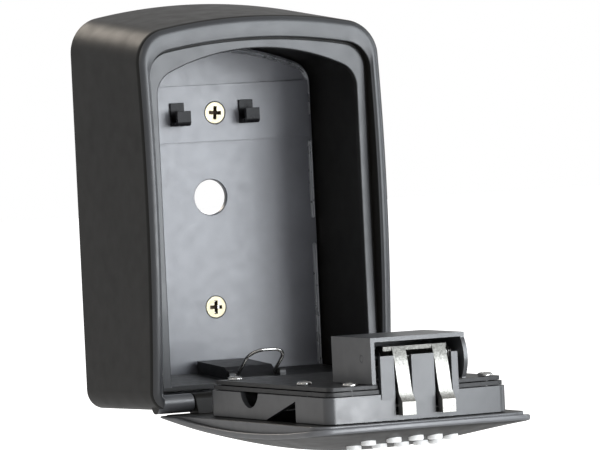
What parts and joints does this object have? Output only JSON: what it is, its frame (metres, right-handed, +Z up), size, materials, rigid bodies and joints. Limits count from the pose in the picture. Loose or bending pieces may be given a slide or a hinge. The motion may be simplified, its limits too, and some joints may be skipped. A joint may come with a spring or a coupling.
{
  "type": "push-button key safe",
  "caption": "Wall-mounted key safe with an arched case, key hooks, a bottom-hinged domed door, push-button keypad and hooked latch, standing open.",
  "frame": {"origin": "on the flat wall face, on the centre plane, level with the door's hinge axis", "axes": "+X to the right seen from the front, +Y into the wall, +Z up"},
  "size_m": [0.0994, 0.1809, 0.1604],
  "materials": {
    "black_casting": "satin black coat over zinc casting",
    "lining": "satin black coat, slightly glossier",
    "black_plastic": "moulded, satin",
    "steel": "bright",
    "zinc": "cast, nickel-plated",
    "plated_screw": "yellow zinc plate",
    "white_button": "satin white"
  },
  "bodies": {
    "case": {"case_shell": "black_casting", "back_plate": "lining", "hook_strip": "lining", "wall_screw_upper": "plated_screw", "wall_screw_lower": "plated_screw", "floor_tray": "black_plastic", "hinge_pin": "steel"},
    "bail": {"wire_bail": "steel"},
    "door": {"door_shell": "black_casting", "mechanism_housing": "black_casting", "lower_cover": "black_plastic", "upper_cover": "black_plastic", "latch_box": "black_casting", "latch_pin": "steel", "latch_spring": "steel", "button_guide_plate": "zinc", "release_spring": "steel", "cover_screw_1": "steel", "cover_screw_2": "steel", "cover_screw_3": "steel", "cover_screw_4": "steel", "cover_screw_5": "steel", "button_spring_0": "steel", "button_spring_1": "steel", "button_spring_2": "steel", "button_spring_3": "steel", "button_spring_4": "steel", "button_spring_5": "steel", "button_spring_6": "steel", "button_spring_7": "steel", "button_spring_8": "steel", "button_spring_9": "steel"},
    "latch": {"latch": "zinc"},
    "release": {"release_knob": "black_casting", "release_link": "zinc"},
    "button_0_body": {"button_0": "white_button"},
    "button_1_body": {"button_1": "white_button"},
    "button_2_body": {"button_2": "white_button"},
    "button_3_body": {"button_3": "white_button"},
    "button_4_body": {"button_4": "white_button"},
    "button_5_body": {"button_5": "white_button"},
    "button_6_body": {"button_6": "white_button"},
    "button_7_body": {"button_7": "white_button"},
    "button_8_body": {"button_8": "white_button"},
    "button_9_body": {"button_9": "white_button"}
  },
  "joints": [
    {"name": "door_hinge", "type": "hinge", "parent": "case", "child": "door", "pos_m": [0, -0.0509, 0], "axis": [1, 0, 0], "range_deg": [-90, 0]},
    {"name": "bail_swing", "type": "hinge", "parent": "case", "child": "bail", "pos_m": [0, -0.04091, 0.008], "axis": [-1, 0, 0], "range_deg": [0, 100]},
    {"name": "release_slide", "type": "slide", "parent": "door", "child": "release", "axis": [0, -1, 0], "range_m": [0, 0.003], "deforming": ["release_spring"]},
    {"name": "latch_swing", "type": "hinge", "parent": "door", "child": "latch", "pos_m": [0, -0.1649, 0.018], "axis": [-1, 0, 0], "range_deg": [0, 9]},
    {"name": "button_0_press", "type": "slide", "parent": "door", "child": "button_0_body", "axis": [0, 0, 1], "range_m": [0, 0.0012], "stiffness_N_per_m": 300, "deforming": ["button_spring_0"]},
    {"name": "button_1_press", "type": "slide", "parent": "door", "child": "button_1_body", "axis": [0, 0, 1], "range_m": [0, 0.0012], "stiffness_N_per_m": 300, "deforming": ["button_spring_1"]},
    {"name": "button_2_press", "type": "slide", "parent": "door", "child": "button_2_body", "axis": [0, 0, 1], "range_m": [0, 0.0012], "stiffness_N_per_m": 300, "deforming": ["button_spring_2"]},
    {"name": "button_3_press", "type": "slide", "parent": "door", "child": "button_3_body", "axis": [0, 0, 1], "range_m": [0, 0.0012], "stiffness_N_per_m": 300, "deforming": ["button_spring_3"]},
    {"name": "button_4_press", "type": "slide", "parent": "door", "child": "button_4_body", "axis": [0, 0, 1], "range_m": [0, 0.0012], "stiffness_N_per_m": 300, "deforming": ["button_spring_4"]},
    {"name": "button_5_press", "type": "slide", "parent": "door", "child": "button_5_body", "axis": [0, 0, 1], "range_m": [0, 0.0012], "stiffness_N_per_m": 300, "deforming": ["button_spring_5"]},
    {"name": "button_6_press", "type": "slide", "parent": "door", "child": "button_6_body", "axis": [0, 0, 1], "range_m": [0, 0.0012], "stiffness_N_per_m": 300, "deforming": ["button_spring_6"]},
    {"name": "button_7_press", "type": "slide", "parent": "door", "child": "button_7_body", "axis": [0, 0, 1], "range_m": [0, 0.0012], "stiffness_N_per_m": 300, "deforming": ["button_spring_7"]},
    {"name": "button_8_press", "type": "slide", "parent": "door", "child": "button_8_body", "axis": [0, 0, 1], "range_m": [0, 0.0012], "stiffness_N_per_m": 300, "deforming": ["button_spring_8"]},
    {"name": "button_9_press", "type": "slide", "parent": "door", "child": "button_9_body", "axis": [0, 0, 1], "range_m": [0, 0.0012], "stiffness_N_per_m": 300, "deforming": ["button_spring_9"]}
  ],
  "couplings": [
    {"joint": "latch_swing", "follows": "release_slide", "rad_per_m": 52.359}
  ]
}
